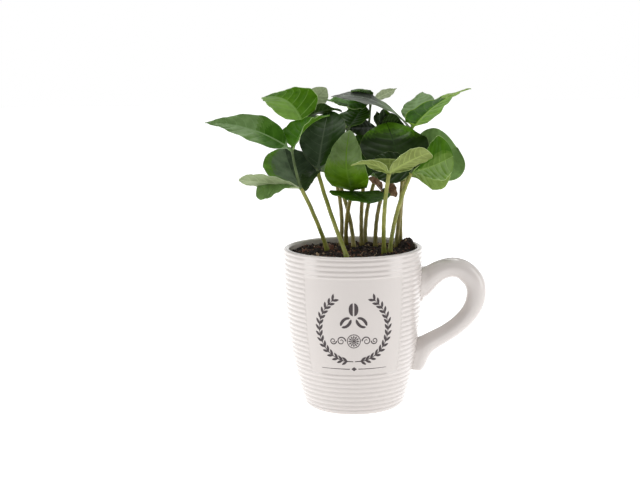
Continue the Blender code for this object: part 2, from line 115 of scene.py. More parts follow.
UPPER, UNDER, VEIN_UPPER, VEIN_UNDER, EDGE, PAINTED_LIGHT, PAINTED_SHADE = range(7)
# Some tints below paint shade or sheen on a leaf, and its patches paint light and shade on parts of its
# blade
SEEDLINGS = {
    "01": dict(
        foot=(-17, 3), node=(-32.5, -10, 143.5), bow=(0.8, 0.7), top=(-38, -8, 167),
        low=[seed_leaf("pale", -172, 9, 40, 17, arch=0.5, roll=34, fold=5, peak=0.64, blunt=(0.42, 0.48)),
             seed_leaf("painted_sheen_slate", 112, 36, 40, 40, arch=-4, roll=-6, fold=14, wave=0.7, peak=0.48, twist=6,
                       patches=[("left", 0.62, PAINTED_LIGHT), ("right", 0.06, PAINTED_SHADE)]),
             seed_leaf("soft", -172, -8, 29, 21, arch=5, roll=-30, fold=0, peak=0.72, twist=-2,
                       blunt=(0.52, 0.52))],
        high=[true_leaf("painted_sheen_green", 174, 18, 59, 24, arch=5, roll=-37, fold=14, peak=0.32, twist=-13,
                        blunt=(0.85, 1.05), patches=[("base", 0.62, PAINTED_SHADE)]),
              true_leaf("fresh", 38, 35, 37, 28, arch=5, roll=-6, fold=28, peak=0.24)]),
    "02": dict(
        foot=(-4, -26), node=(-22, 0, 152.5), bow=(-1.1, 4.4), top=None,
        low=[seed_leaf("painted_shade_dusk", 78, 49, 49, 32, arch=2.5, roll=-8, fold=5, wave=1, peak=0.55,
                       patches=[("tip", 0.72, PAINTED_SHADE), ("right", 0.45, PAINTED_SHADE)]),
             seed_leaf("painted_shade_green", -117, -31, 20, 12, fold=20)],
        high=[]),
    "03": dict(
        foot=(-8, 28), node=(-12, 32, 147.5), bow=(2.3, -0.7), top=(-32.5, 30, 183),
        low=[seed_leaf("mid", 150, 5, 38, 40, wave=1), seed_leaf("deep", 92, -4, 34, 32, wave=1)],
        high=[seed_leaf("fresh", -135, 29, 37, 40, arch=6.5, roll=18, fold=9, peak=0.36, blunt=(0.5, 0.6),
                        patches=[("right", 0.02, PAINTED_LIGHT)]),
              true_leaf("pale", 48, 43, 32, 14, arch=2.3, roll=57, peak=0.6, twist=5, blunt=(0.9, 0.7),
                        patches=[("tip", 0, PAINTED_LIGHT)]),
              true_leaf("pale", 20, 62, 9, 6, arch=1, roll=30, fold=20),
              true_leaf("painted_shade_green", 2, 15, 27, 13, arch=4, roll=-35, fold=12, wave=0.8),
              true_leaf("mid", 122, 12, 50, 20, arch=5, fold=12)]),
    "04": dict(
        foot=(-4.5, 26), node=(0, 8, 139), bow=(-1.4, -0.7), top=None,
        low=[seed_leaf("mid", 74, 96, 40, 31, arch=11, roll=-9, fold=7, wave=0.7, peak=0.24,
                       blunt=(0.66, 0.54), patches=[("tip", 0.47, PAINTED_LIGHT)]),
             seed_leaf("deep", -69, -10, 27, 42, arch=0, roll=-4, fold=6, peak=0.46, blunt=(0.5, 0.52))],
        high=[]),
    "05": dict(
        foot=(0.5, 15), node=(-9.5, 24, 144.5), bow=(1.7, 1.4), top=(-2, 31, 178.5),
        low=[],
        high=[true_leaf("deep", 54, 39, 25, 24, arch=0, roll=3, fold=9, peak=0.37, blunt=(0.75, 1.3)),
              true_leaf("mid", 130, 6, 42, 20, arch=4, fold=12)]),
    "06": dict(
        foot=(6, 24), node=(8, 34, 143.5), bow=(-1, -2.8), top=(13, 48, 195),
        low=[seed_leaf("mid", 135, 35, 34, 34, wave=1),
             seed_leaf("deep", 59, 80, 35, 26, arch=2, fold=5, wave=1)],
        high=[true_leaf("pale", 20, 25, 21, 11, arch=0, roll=20, fold=5, peak=0.53, twist=8),
              true_leaf("fresh", -145, 4, 36, 20, arch=-1.3, roll=-23, fold=2, peak=0.44, twist=-3),
              true_leaf("deep", -131, 21, 21, 16, arch=5, roll=9, fold=-11, peak=0.47, twist=-8,
                        blunt=(0.85, 0.95)),
              true_leaf("mid", 110, -20, 40, 20, arch=5, fold=12)]),
    "07": dict(
        foot=(8.5, 32), node=(16, 44, 143.5), bow=(-2.2, -1.5), top=(17.5, 38, 178.5),
        low=[seed_leaf("mid", 75, 20, 38, 38, wave=1)],
        high=[true_leaf("painted_shade_green", -108, 79, 11, 9, arch=2, fold=30),
              true_leaf("painted_shade_dusk", 5, 27, 15, 17, arch=3, roll=-35, fold=15, wave=0.8,
                        patches=[("tip", 0.6, PAINTED_LIGHT)]),
              true_leaf("painted_shade_green", 8, 1, 19, 18, arch=2, roll=-48, fold=6),
              true_leaf("painted_shade_green", 188, 0, 25, 19, arch=0, roll=-33, fold=4, peak=0.42)]),
    "08": dict(
        foot=(15, 18), node=(20, 14, 137.5), bow=(-1.4, 0.7), top=None,
        low=[seed_leaf("husk", -155, 42, 14, 10, arch=1, roll=-40, fold=20),
             seed_leaf("husk", -20, -15, 10, 10, roll=55, fold=20)],
        high=[]),
    "09": dict(
        foot=(20, -9), node=(23, -23, 153.5), bow=(-1.4, -0.3), top=None,
        low=[seed_leaf("straw", -23, 27, 30, 15.5, arch=1, roll=-40, fold=7, peak=0.72, stalk=0.02,
                       blunt=(0.2, 0.3)),
             seed_leaf("straw", -172, 13, 24.5, 10, arch=3.3, roll=25, fold=12, peak=0.28, stalk=0.03,
                       blunt=(0.2, 0.58)),
             seed_leaf("straw", 68, 78, 9, 30, arch=0, roll=12, fold=-8, peak=0.55, stalk=0.02,
                       blunt=(0.5, 0.3))],
        high=[]),
    "10": dict(
        foot=(24, -5), node=(37.5, -8, 152), bow=(-2.1, 0.5), top=None,
        low=[seed_leaf("bright", -17.5, 22, 29, 36, arch=-1, roll=46, fold=14, wave=0.6, peak=0.72,
                       twist=4.5, blunt=(0.59, 0.4), patches=[("left", 0.3, PAINTED_SHADE)]),
             seed_leaf("painted_shade_green", 175, 14, 27, 24, arch=0, roll=-52, fold=3, peak=0.48, blunt=(0.54, 0.7))],
        high=[]),
    "11": dict(
        foot=(28.5, 13), node=(32.5, 7, 146), bow=(0.4, 1.5), top=None,
        low=[seed_leaf("painted_shade_green", 109, 51, 46, 47, arch=3, roll=-6, fold=-1, wave=1, peak=0.51,
                       blunt=(0.6, 0.65), patches=[("tip", 0.74, PAINTED_LIGHT)]),
             seed_leaf("bright", -19, 5, 32, 29, arch=5, roll=48, fold=0, peak=0.72, blunt=(0.75, 0.6),
                       patches=[("tip", 0, PAINTED_LIGHT)])],
        high=[]),
    "12": dict(
        foot=(32, 20), node=(35, 23, 145.5), bow=(-1.5, -0.7), top=(39.8, 35, 177),
        low=[seed_leaf("soft", 14, 28, 41, 39, arch=2, roll=70, fold=-2, wave=1.3, peak=0.68,
                       blunt=(0.58, 0.3)),
             seed_leaf("deep", 61, 20, 34, 36, wave=1)],
        high=[true_leaf("lime", -36, 31, 53, 34, arch=4.4, roll=-7, fold=2.5, peak=0.21, twist=6.5,
                        blunt=(0.76, 1.28), patches=[("right", 0.1, PAINTED_SHADE), ("tip", 0.72, PAINTED_LIGHT)]),
              true_leaf("painted_sheen_grey", -175, 23, 58, 18, arch=8, roll=-10, fold=1, peak=0.57, twist=-18,
                        blunt=(0.94, 1.12), patches=[("base", 0.58, PAINTED_LIGHT)]),
              true_leaf("painted_sheen_green", 71, 40, 37, 25, arch=4, roll=-11, fold=-7, peak=0.54, twist=-9)]),
}
GREEN_STEMS = ("01", "02", "09", "10")


# Helpers
def linear(hex_colour):
    """The linear RGBA of an sRGB hex colour."""
    parts = [int(hex_colour[i:i + 2], 16) / 255 for i in (0, 2, 4)]
    return [c / 12.92 if c <= 0.04045 else ((c + 0.055) / 1.055) ** 2.4 for c in parts] + [1]


def add_node(tree, kind, values=None, links=None, **settings):
    """A shader node with its settings, the values of its sockets, and the outputs linked into them."""
    node = tree.nodes.new("ShaderNode" + kind)
    for name, value in settings.items():
        setattr(node, name, value)
    for socket, value in (values or {}).items():
        node.inputs[socket].default_value = value
    for socket, source in (links or {}).items():
        tree.links.new(source, node.inputs[socket])
    return node


def new_material(name, hex_colour, roughness, **sockets):
    """A Principled material. Underscores in the sockets' names stand for spaces."""
    made = bpy.data.materials.new(name)
    made.use_nodes = True
    shader = made.node_tree.nodes["Principled BSDF"]
    shader.inputs["Base Color"].default_value = linear(hex_colour)
    shader.inputs["Roughness"].default_value = roughness
    shader.inputs["Metallic"].default_value = 0.0
    for socket, value in sockets.items():
        shader.inputs[socket.replace("_", " ")].default_value = value
    return made


def mottle(made, hex_a, hex_b, size, detail=3, contrast=(0.35, 0.65)):
    """Lets the base colour drift between two colours in patches of about size millimetres."""
    tree = made.node_tree
    place = add_node(tree, "TexCoord")
    cloud = add_node(tree, "TexNoise", {"Scale": 1 / (size * MM), "Detail": detail},
                     {"Vector": place.outputs["Object"]})
    ramp = add_node(tree, "ValToRGB", links={"Fac": cloud.outputs["Fac"]})
    for stop, at, colour in zip(ramp.color_ramp.elements, contrast, (hex_a, hex_b)):
        stop.position = at
        stop.color = linear(colour)
    tree.links.new(ramp.outputs["Color"], tree.nodes["Principled BSDF"].inputs["Base Color"])
    return ramp


def roughen(made, kind, size, height, **values):
    """Bump from a texture with features of about size millimetres, height millimetres deep."""
    tree = made.node_tree
    place = add_node(tree, "TexCoord")
    settings = {"feature": values.pop("feature")} if "feature" in values else {}
    texture = add_node(tree, kind, {"Scale": 1 / (size * MM), **values},
                       {"Vector": place.outputs["Object"]}, **settings)
    out = texture.outputs["Distance"] if kind == "TexVoronoi" else texture.outputs["Fac"]
    bump = add_node(tree, "Bump", {"Strength": 1.0, "Distance": height * MM}, {"Height": out})
    tree.links.new(bump.outputs["Normal"], tree.nodes["Principled BSDF"].inputs["Normal"])


def grid_faces(rows, columns, around=False):
    """The quads of a grid of points, row after row; around joins its last column to its first."""
    spans = columns if around else columns - 1
    i, j = np.meshgrid(np.arange(rows - 1), np.arange(spans), indexing="ij")
    across = (j + 1) % columns
    corners = (i * columns + j, i * columns + across, (i + 1) * columns + across, (i + 1) * columns + j)
    return np.stack(corners, axis=-1).reshape(-1, 4)


def fan(ring, centre):
    """Triangles from a closed ring of indices to the index of its centre."""
    return np.stack([ring, np.roll(ring, -1), np.full(len(ring), centre)], axis=-1)


def add_piece(name, parts, finishes, node, flat=False):
    """One mesh from parts, each (points, list of face arrays, finish of each array).

    node lists the solids that it stands for, which it hides.
    """
    points = []
    faces = []
    kinds = []
    count = 0
    for at, groups, finish in parts:
        for group, kind in zip(groups, finish):
            faces.extend((group + count).tolist())
            kinds.append(np.broadcast_to(kind, len(group)))
        points.append(at)
        count += len(at)
    data = bpy.data.meshes.new(name)
    data.from_pydata(np.concatenate(points) * MM, [], faces)
    for finish in finishes:
        data.materials.append(finish)
    data.polygons.foreach_set("material_index", np.concatenate(kinds).astype(np.int32))
    if not flat:
        data.shade_smooth()
    obj = bpy.data.objects.new(name, data)
    bpy.context.scene.collection.objects.link(obj)
    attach(obj, "root")
    if node:
        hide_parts(*node)
    return obj


def bend(start, control, end, share):
    """Points at the shares of a quadratic curve."""
    share = np.asarray(share, float)[..., None]
    return (1 - share) ** 2 * start + 2 * share * (1 - share) * control + share ** 2 * end


def unit(vector):
    """Vectors made 1 long."""
    return vector / np.maximum(np.linalg.norm(vector, axis=-1, keepdims=True), 1e-9)


def smooth_line(knots, per_span):
    """A smooth curve through knots, which can be points with further values."""
    knots = np.asarray(knots, float)
    ends = np.vstack([2 * knots[0] - knots[1], knots, 2 * knots[-1] - knots[-2]])
    share = np.arange(per_span)[:, None] / per_span
    spans = []
    for a, b, c, d in zip(ends, ends[1:], ends[2:], ends[3:]):
        spans.append(0.5 * (2 * b + (c - a) * share + (2 * a - 5 * b + 4 * c - d) * share ** 2
                            + (3 * b - a - 3 * c + d) * share ** 3))
    return np.vstack(spans + [knots[-1:]])


def ease(value):
    """0 below 0, 1 above 1, and smooth between."""
    value = np.clip(value, 0, 1)
    return value * value * (3 - 2 * value)


OFF_AXIS = (0.31, 0.95, 0.05)      # a direction that no tube follows


def ring_tube(line, radii, sides, relief=0.0):
    """A closed round tube along a line of points. relief is how far its skin swells and sinks."""
    line = np.asarray(line, float)
    radii = np.asarray(radii, float)[:, None]
    along = unit(np.gradient(line, axis=0))
    across = unit(np.cross(along, OFF_AXIS))
    other = np.cross(along, across)
    turns = np.linspace(0, math.tau, sides, endpoint=False)
    skin = 1 + relief * (np.sin(3 * turns + 0.9 * line[:, 2:] + line[:, :1])
                         + 0.6 * np.sin(7 * turns + 0.35 * line[:, 2:])) / 1.6
    round_about = across[:, None] * np.cos(turns)[:, None] + other[:, None] * np.sin(turns)[:, None]
    rings = line[:, None] + round_about * (radii * skin)[..., None]
    points = np.vstack([rings.reshape(-1, 3), line[:1], line[-1:]])
    first = np.arange(sides)
    last = first + sides * (len(line) - 1)
    caps = [fan(first[::-1], len(points) - 2), fan(last, len(points) - 1)]
    return points, [grid_faces(len(line), sides, around=True)] + caps


# The mug
PANEL_EDGE = 1.5       # over which the ribs run out into the panel
RIB_ROUNDNESS = 1.1
ROWS_PER_RIB = 8
MUG_SIDES = 240
FOOT_RING = (24.5, 25.6)
FOOT_RECESS = 1.0


def barrel_radius(z):
    """The radius over the ribs' crests at the height z."""
    return MUG_RADIUS - FOOT_NARROWING * ((MUG_HEIGHT - z) / MUG_HEIGHT) ** BARREL_POWER


def panel_share(turn, z):
    """1 on the smooth panel, 0 on the ribs. turn is the angle from the panel's middle."""
    side = (math.radians(PANEL_HALF_ANGLE) - np.abs(turn)) * barrel_radius(z) / PANEL_EDGE + 0.5
    top = (PANEL_TOP - z) / PANEL_EDGE + 0.5
    bottom = (z - PANEL_BOTTOM) / PANEL_EDGE + 0.5
    return ease(side) * ease(top) * ease(bottom)


def outer_radius(turn, z):
    """The mug's outside, ribs and panel."""
    groove = 1 - np.abs(np.sin(np.pi * (MUG_HEIGHT - FIRST_GROOVE - z) / RIB_PITCH)) ** RIB_ROUNDNESS
    groove = groove * RIB_DEPTH * ease((z - FOOT_ROUND) / 1.2)
    smooth = panel_share(turn, z)
    return barrel_radius(z) - groove * (1 - smooth) - PANEL_SET_BACK * smooth


def quarter(centre_r, centre_z, radius, start, end, steps=6):
    """(radius, height) points of a round edge."""
    turns = np.radians(np.linspace(start, end, steps + 1))
    return [(centre_r + radius * math.cos(a), centre_z + radius * math.sin(a)) for a in turns]


def make_mug(glaze, bare_foot):
    """The turned body with its ribs, the panel, the rounded lip and the foot ring."""
    edge = math.radians(PANEL_HALF_ANGLE)
    near_edge = np.radians(np.linspace(-0.9, 0.9, 7))
    turns = np.unique(np.round(np.concatenate(
        [np.linspace(-math.pi, math.pi, MUG_SIDES, endpoint=False), near_edge - edge, near_edge + edge]), 5))
    lip = MUG_HEIGHT - LIP_ROUND
    rise = np.linspace(FOOT_ROUND, lip, int((lip - FOOT_ROUND) / RIB_PITCH * ROWS_PER_RIB))
    foot = [(12, FOOT_RECESS), (FOOT_RING[0], FOOT_RECESS), (FOOT_RING[1], 0)]
    foot += quarter(barrel_radius(0) - FOOT_ROUND, FOOT_ROUND, FOOT_ROUND, -90, -10)
    over_lip = quarter(MUG_RADIUS - LIP_ROUND, lip, LIP_ROUND, 10, 90)
    over_lip += quarter(MUG_RADIUS - WALL + LIP_ROUND, lip, LIP_ROUND, 90, 180)
    inside = [(barrel_radius(z) - WALL, z) for z in (95, 88, 78, 64, 48, 34, 22, 12, 8)]
    inside += [(barrel_radius(FLOOR) - WALL - 4, FLOOR), (10, FLOOR)]

    def turned(profile):
        """Rings of a turned profile."""
        profile = np.array(profile)[:, None]
        radius = np.broadcast_to(profile[..., 0], (len(profile), len(turns)))
        height = np.broadcast_to(profile[..., 1], radius.shape)
        return np.stack([radius, height], axis=-1)

    wall_height = np.broadcast_to(rise[:, None], (len(rise), len(turns)))
    wall = np.stack([outer_radius(turns, rise[:, None]), wall_height], axis=-1)
    rings = np.concatenate([turned(foot), wall, turned(over_lip), turned(inside)])
    bearing = turns - math.pi / 2
    points = np.stack([rings[..., 0] * np.cos(bearing), rings[..., 0] * np.sin(bearing), rings[..., 1]],
                      axis=-1).reshape(-1, 3)
    points = np.vstack([points, (0, 0, FOOT_RECESS), (0, 0, FLOOR)])
    sides = grid_faces(len(rings), len(turns), around=True)
    unglazed = (np.arange(len(sides)) // len(turns) < 4).astype(int)
    first = np.arange(len(turns))
    last = first + len(turns) * (len(rings) - 1)
    groups = [sides, fan(first[::-1], len(points) - 2), fan(last, len(points) - 1)]
    return add_piece("mug_body_glazed", [(points, groups, [unglazed, 1, 0])], [glaze, bare_foot],
                     ["mug_body"])


ROOT_FILLET = 3.0
HANDLE_SIDES = 40


def make_handle(glaze):
    """The half-heart loop, its roots flared and sunk into the wall."""
    line = smooth_line(HANDLE_LINE, 7)
    centre = np.stack([line[:, 0], np.zeros(len(line)), line[:, 1]], axis=-1)
    points, groups = ring_tube(centre, line[:, 2], HANDLE_SIDES)
    rings = points[:-2].reshape(len(line), HANDLE_SIDES, 3)
    wall = barrel_radius(rings[..., 2])
    clear = np.hypot(rings[..., 0], rings[..., 1]) - wall
    flare = ROOT_FILLET * 0.5 * np.clip(1 - clear / ROOT_FILLET, 0, 1)[..., None] ** 2
    rings += unit(rings - centre[:, None]) * flare
    points = np.vstack([rings.reshape(-1, 3), points[-2:]])
    # What reaches through the wall is drawn back into it
    radius = np.hypot(points[:, 0], points[:, 1])
    least = barrel_radius(points[:, 2]) - 2.2
    points[:, :2] *= np.maximum(1, least / radius)[:, None]
    return add_piece("mug_handle_glazed", [(points, groups, [0, 0, 0])], [glaze], ["mug_handle"])


# The printed emblem on the panel, in millimetres right of its middle and above the foot
INK_OVER = 0.06
INK_UNDER = -0.25
INK_LINE = 0.5
BEAN_LENGTH = 8.2
BEAN_WIDTH = 6.2
BEAN_SLIT = 0.9
ROSETTE_HEIGHT = 51


def on_panel(right, height, proud):
    """Points on the panel's curved face."""
    radius = barrel_radius(height) - PANEL_SET_BACK + proud
    turn = right / MUG_RADIUS - math.pi / 2
    return np.stack([radius * np.cos(turn), radius * np.sin(turn), height], axis=-1)


def ink_patch(outline):
    """A closed patch of ink inside an outline that its middle sees all of."""
    outline = np.asarray(outline, float)
    flat = np.vstack([outline, outline.mean(axis=0)])
    count = len(outline)
    ring = np.arange(count)
    over = on_panel(flat[:, 0], flat[:, 1], INK_OVER)
    under = on_panel(flat[:, 0], flat[:, 1], INK_UNDER)
    low = ring + count + 1
    rim = np.stack([np.roll(ring, -1), ring, low, np.roll(low, -1)], axis=-1)
    return np.vstack([over, under]), [fan(ring, count), fan(low[::-1], 2 * count + 1), rim], [0, 0, 0]


def ink_line(line, width=INK_LINE):
    """A closed line of ink. width may change along it."""
    line = np.asarray(line, float)
    along = unit(np.gradient(line, axis=0))
    aside = np.stack([-along[:, 1], along[:, 0]], axis=-1) * (np.broadcast_to(width, len(line)) / 2)[:, None]
    corners = []
    for edge, proud in ((line - aside, INK_OVER), (line + aside, INK_OVER), (line + aside, INK_UNDER),
                        (line - aside, INK_UNDER)):
        corners.append(on_panel(edge[:, 0], edge[:, 1], proud))
    points = np.stack(corners, axis=1).reshape(-1, 3)
    ends = np.array([[0, 1, 2, 3], np.array([3, 2, 1, 0]) + 4 * (len(line) - 1)])
    return points, [grid_faces(len(line), 4, around=True), ends], [0, 0]


def leant(x, y, place, lean):
    """An outline's points, turned by lean degrees and moved to a place."""
    cos, sin = math.cos(math.radians(lean)), math.sin(math.radians(lean))
    return np.stack([place[0] + x * cos - y * sin, place[1] + x * sin + y * cos], axis=-1)


def oval(middle, long, short, lean, count=18):
    """The outline of an oval whose long axis leans by degrees from the right."""
    turns = np.linspace(0, math.tau, count, endpoint=False)
    return leant(long / 2 * np.cos(turns), short / 2 * np.sin(turns), middle, lean)


def small_leaf(foot, length, width, lean):
    """The outline of a pointed leaf from its foot."""
    share = np.linspace(0, 1, 7)
    half = width / 2 * np.sin(np.pi * share) ** 0.8
    x = np.concatenate([share, share[-2:0:-1]]) * length
    y = np.concatenate([half, -half[-2:0:-1]])
    return leant(x, y, foot, lean)[::-1]


def half_bean(middle, lean):
    """The outline of half a coffee bean, flat along its slit."""
    turns = np.linspace(0, math.pi, 12)
    x = BEAN_LENGTH / 2 * np.cos(turns)
    y = BEAN_SLIT / 2 + (BEAN_WIDTH - BEAN_SLIT) / 2 * np.sin(turns)
    return leant(x, y, middle, lean)


def mirrored(outline):
    """The outline on the other side of the middle, still running the same way round."""
    return (np.asarray(outline, float) * (-1, 1))[::-1]


def make_emblem(ink):
    """A laurel wreath round three coffee beans and a rosette with scrolls, over a rule with a lozenge."""
    parts = []

    def both_sides(outline):
        """A patch, and its mirror image."""
        parts.append(ink_patch(outline))
        parts.append(ink_patch(mirrored(outline)))

    def both_lines(line, width=INK_LINE):
        """A line, and its mirror image."""
        parts.append(ink_line(line, width))
        parts.append(ink_line(np.asarray(line) * (-1, 1), width))

    # The wreath: a sprig from the bottom, out round the side and in again at the top
    sprig = smooth_line([(0.6, 37.5), (9, 38.5), (17.5, 43.5), (22.6, 52), (23, 62), (19, 71),
                         (12.5, 78)], 12)
    both_lines(sprig, np.linspace(0.6, 0.25, len(sprig)))
    for share in np.linspace(0.08, 0.97, 15):
        at = share * (len(sprig) - 1)
        low = min(int(at), len(sprig) - 2)
        foot = sprig[low] + (sprig[low + 1] - sprig[low]) * (at - low)
        course = math.degrees(math.atan2(*(sprig[low + 1] - sprig[low])[::-1]))
        for lean in (34, -34):
            both_sides(small_leaf(foot, 4.6, 1.7, course + lean))
        both_sides(oval(foot, 1.0, 1.0, 0, 10))
    # Three coffee beans, each two halves either side of its slit
    for middle, lean in (((0, 71.4), 90), ((-5.1, 63), 40), ((5.1, 63), 140)):
        parts.append(ink_patch(half_bean(middle, lean)))
        parts.append(ink_patch(half_bean(middle, lean + 180)))
    # The rosette and its scrolls
    for turn in range(12):
        lean = 30 * turn
        foot = (1.6 * math.cos(math.radians(lean)), ROSETTE_HEIGHT + 1.6 * math.sin(math.radians(lean)))
        parts.append(ink_patch(small_leaf(foot, 2.2, 0.9, lean)))
    parts.append(ink_patch(oval((0, ROSETTE_HEIGHT), 1.7, 1.7, 0)))
    turns = np.linspace(0, math.tau, 49)
    for radius in (1.35, 4.3):
        ring = [radius * np.cos(turns), ROSETTE_HEIGHT + radius * np.sin(turns)]
        parts.append(ink_line(np.stack(ring, axis=-1)))
    for start, size, way in ((5.4, 3.0, 1), (11.6, 2.3, -1)):
        curl = np.linspace(0, 1.4 * math.tau, 44)
        radius = size * (1 - curl / (1.75 * math.tau))
        scroll = [start + size - radius * np.cos(curl), ROSETTE_HEIGHT + way * radius * np.sin(curl)]
        both_lines(np.stack(scroll, axis=-1), np.linspace(0.8, 0.4, len(curl)))
    # The rule
    both_lines(np.stack([np.linspace(3, 24, 30), np.full(30, 32.5)], axis=-1), np.linspace(0.55, 0.25, 30))
    parts.append(ink_patch([(2, 32.5), (0, 33.9), (-2, 32.5), (0, 31.1)]))
    return add_piece("panel_emblem", parts, [ink], None, flat=True)


# The soil
SOIL_EDGE = barrel_radius(SOIL_LEVEL) - WALL
SOIL_DEPTH = 5.0
BED_RINGS = 62
BED_SPOKES = 190
BED_RELIEF = ((0.55, 2.1), (0.4, 0.9))      # the bed's fine roughness: how high, and of what grain
# What lies loose on the bed: its name, how many, their least and greatest size, their three axes, how finely
# their balls are divided, and the shares of humus, peat, bark and fibre
LOOSE = (
    ("soil_crumbs", 3200, (0.35, 1.2), (1, 1, 0.75), 1, (0.42, 0.33, 0.18, 0.07)),
    ("soil_clods", 170, (1.2, 2.4), (1, 0.85, 0.7), 2, (0.45, 0.35, 0.17, 0.03)),
    ("soil_chips", 240, (0.9, 2.2), (1, 0.25, 0.2), 1, (0.15, 0.2, 0.35, 0.3)),
)


def soil_height(x, y):
    """The soil's rough surface, level where a stem stands."""
    rough = SOIL_ROUGHNESS * noise.noise(Vector((x, y, 3)) / SOIL_GRAIN)
    heap = math.hypot(x - HEAP_PLACE[0], y - HEAP_PLACE[1]) / HEAP_SPREAD
    nearest = min(math.hypot(x - row["foot"][0], y - row["foot"][1]) for row in SEEDLINGS.values())
    return SOIL_LEVEL + (rough + HEAP_HEIGHT * math.exp(-heap ** 2)) * min(1, nearest / LEVEL_ROUND_STEM)


def make_soil(humus):
    """The soil's crumbly bed, a plug with a rough top that meets the wall."""
    radii = np.linspace(0.6, SOIL_EDGE + 0.2, BED_RINGS)
    turns = np.linspace(0, math.tau, BED_SPOKES, endpoint=False)
    radius, turn = np.meshgrid(radii[::-1], turns, indexing="ij")
    x, y = radius * np.cos(turn), radius * np.sin(turn)
    z = np.empty_like(x)
    for at in np.ndindex(x.shape):
        place = Vector((x[at], y[at], 0))
        fine = sum(height * noise.noise(place / grain) for height, grain in BED_RELIEF)
        z[at] = soil_height(x[at], y[at]) + fine
    top = np.stack([x, y, z], axis=-1)
    side = top[:1].copy()
    side[..., 2] = SOIL_LEVEL - SOIL_DEPTH
    rings = np.concatenate([side, top])
    points = np.vstack([rings.reshape(-1, 3), (0, 0, SOIL_LEVEL - SOIL_DEPTH), (0, 0, soil_height(0, 0))])
    first = np.arange(len(turns))
    last = first + len(turns) * (len(rings) - 1)
    groups = [grid_faces(len(rings), len(turns), around=True), fan(first[::-1], len(points) - 2),
              fan(last, len(points) - 1)]
    return add_piece("soil_bed", [(points, groups, [0, 0, 0])], [humus], ["soil"])


def round_lump(divisions):
    """The points and triangles of a ball made of even triangles."""
    shape = bmesh.new()
    bmesh.ops.create_icosphere(shape, subdivisions=divisions, radius=1)
    points = np.array([v.co for v in shape.verts])
    faces = np.array([[v.index for v in f.verts] for f in shape.faces])
    shape.free()
    return points, faces


def random_turns(count):
    """Rotation matrices in any direction."""
    w, x, y, z = unit(rng.normal(size=(count, 4))).T
    rows = [[1 - 2 * (y * y + z * z), 2 * (x * y - z * w), 2 * (x * z + y * w)],
            [2 * (x * y + z * w), 1 - 2 * (x * x + z * z), 2 * (y * z - x * w)],
            [2 * (x * z - y * w), 2 * (y * z + x * w), 1 - 2 * (x * x + y * y)]]
    return np.array(rows).transpose(2, 0, 1)


def scatter_crumbs(name, count, sizes, shape, divisions, shares, finishes):
    """Lumps dealt over the soil."""
    ball, faces = round_lump(divisions)
    size = rng.uniform(*sizes, count) * rng.uniform(0.6, 1.0, count)
    radius = (SOIL_EDGE - size - 0.4) * np.sqrt(rng.uniform(0, 1, count))
    turn = rng.uniform(0, math.tau, count)
    x, y = radius * np.cos(turn), radius * np.sin(turn)
    feet = np.array([row["foot"] for row in SEEDLINGS.values()])
    clear = np.min(np.hypot(x[:, None] - feet[:, 0], y[:, None] - feet[:, 1]), axis=1)
    size = np.minimum(size, 0.35 + clear / 3)
    z = np.array([soil_height(a, b) for a, b in zip(x, y)]) + size * 0.3
    rough = 1 + rng.normal(0, 0.14, (count, len(ball), 1))
    lumps = ball * rough * (size[:, None] * np.asarray(shape) * rng.uniform(0.7, 1.15, (count, 3)))[:, None]
    lumps = np.einsum("nij,npj->npi", random_turns(count), lumps) + np.stack([x, y, z], axis=-1)[:, None]
    kinds = rng.choice(len(finishes), count, p=shares)
    all_faces = faces[None] + (np.arange(count) * len(ball))[:, None, None]
    parts = [(lumps.reshape(-1, 3), [all_faces.reshape(-1, 3)], [np.repeat(kinds, len(faces))])]
    return add_piece(name, parts, finishes, ["soil"], flat=True)


# Stems and necks
STEM_ROWS = 60
STEM_SIDES = 16
NECK_ROWS = 26
NECK_SIDES = 12
BUD_SIDES = 10
BURIED = 1.5
COLLAR = 0.35      # how far a stem swells at the soil and at its node


def stem_line(row):
    """The stem's points from the soil to its first node, and its direction there."""
    foot = np.array((*row["foot"], SOIL_LEVEL + 0.3))
    node = np.array(row["node"], float)
    start = foot + UP * STRAIGHT_FOOT
    control = (start + node) / 2 + 2 * np.array((*row["bow"], 0))
    along = unit(node - control)
    return np.vstack([foot - UP * BURIED, bend(start, control, node, np.linspace(0, 1, STEM_ROWS))]), along


def make_stem(name, row, finish):
    """A slender stem: a swollen collar at the soil, faint ridges along it and a knuckle at the node."""
    line, along = stem_line(row)
    share = np.linspace(0, 1, len(line))
    radii = STEM_FOOT_RADIUS + (STEM_TIP_RADIUS - STEM_FOOT_RADIUS) * share
    radii = radii + COLLAR * np.exp(-(share / 0.05) ** 2) + COLLAR * np.exp(-((1 - share) / 0.02) ** 2)
    points, groups = ring_tube(line, radii, STEM_SIDES, relief=0.07)
    add_piece("stem_" + name + "_skin", [(points, groups, [0, 0, 0])], [finish], ["stem_" + name])
    return along


def neck_tubes(row, along):
    """The green neck over the stem, and the bud at its end."""
    node = np.array(row["node"], float)
    parts = []
    tip = node
    if row["top"]:
        tip = np.array(row["top"], float)
        length = np.linalg.norm(tip - node)
        control = node + (along * length + tip - node) / 4
        share = np.linspace(0, 1, NECK_ROWS)
        line = bend(node, control, tip, share)
        radii = NECK_NODE_RADIUS + (NECK_TIP_RADIUS - NECK_NODE_RADIUS) * share
        radii = radii * (1 - 0.12 * np.sin(np.pi * share)) + 0.3 * np.exp(-((1 - share) / 0.06) ** 2)
        parts.append(ring_tube(line, radii, NECK_SIDES, relief=0.05))
        along = unit(tip - control)
    share = np.linspace(0, 1, 9)
    bud = tip + along * (share * BUD_LENGTH * 1.25)[:, None]
    parts.append(ring_tube(bud, 0.95 * np.sqrt(1 - share ** 2) * (1 - 0.35 * share) + 0.05, BUD_SIDES))
    return [(points, groups, [0, 0, 0]) for points, groups in parts]


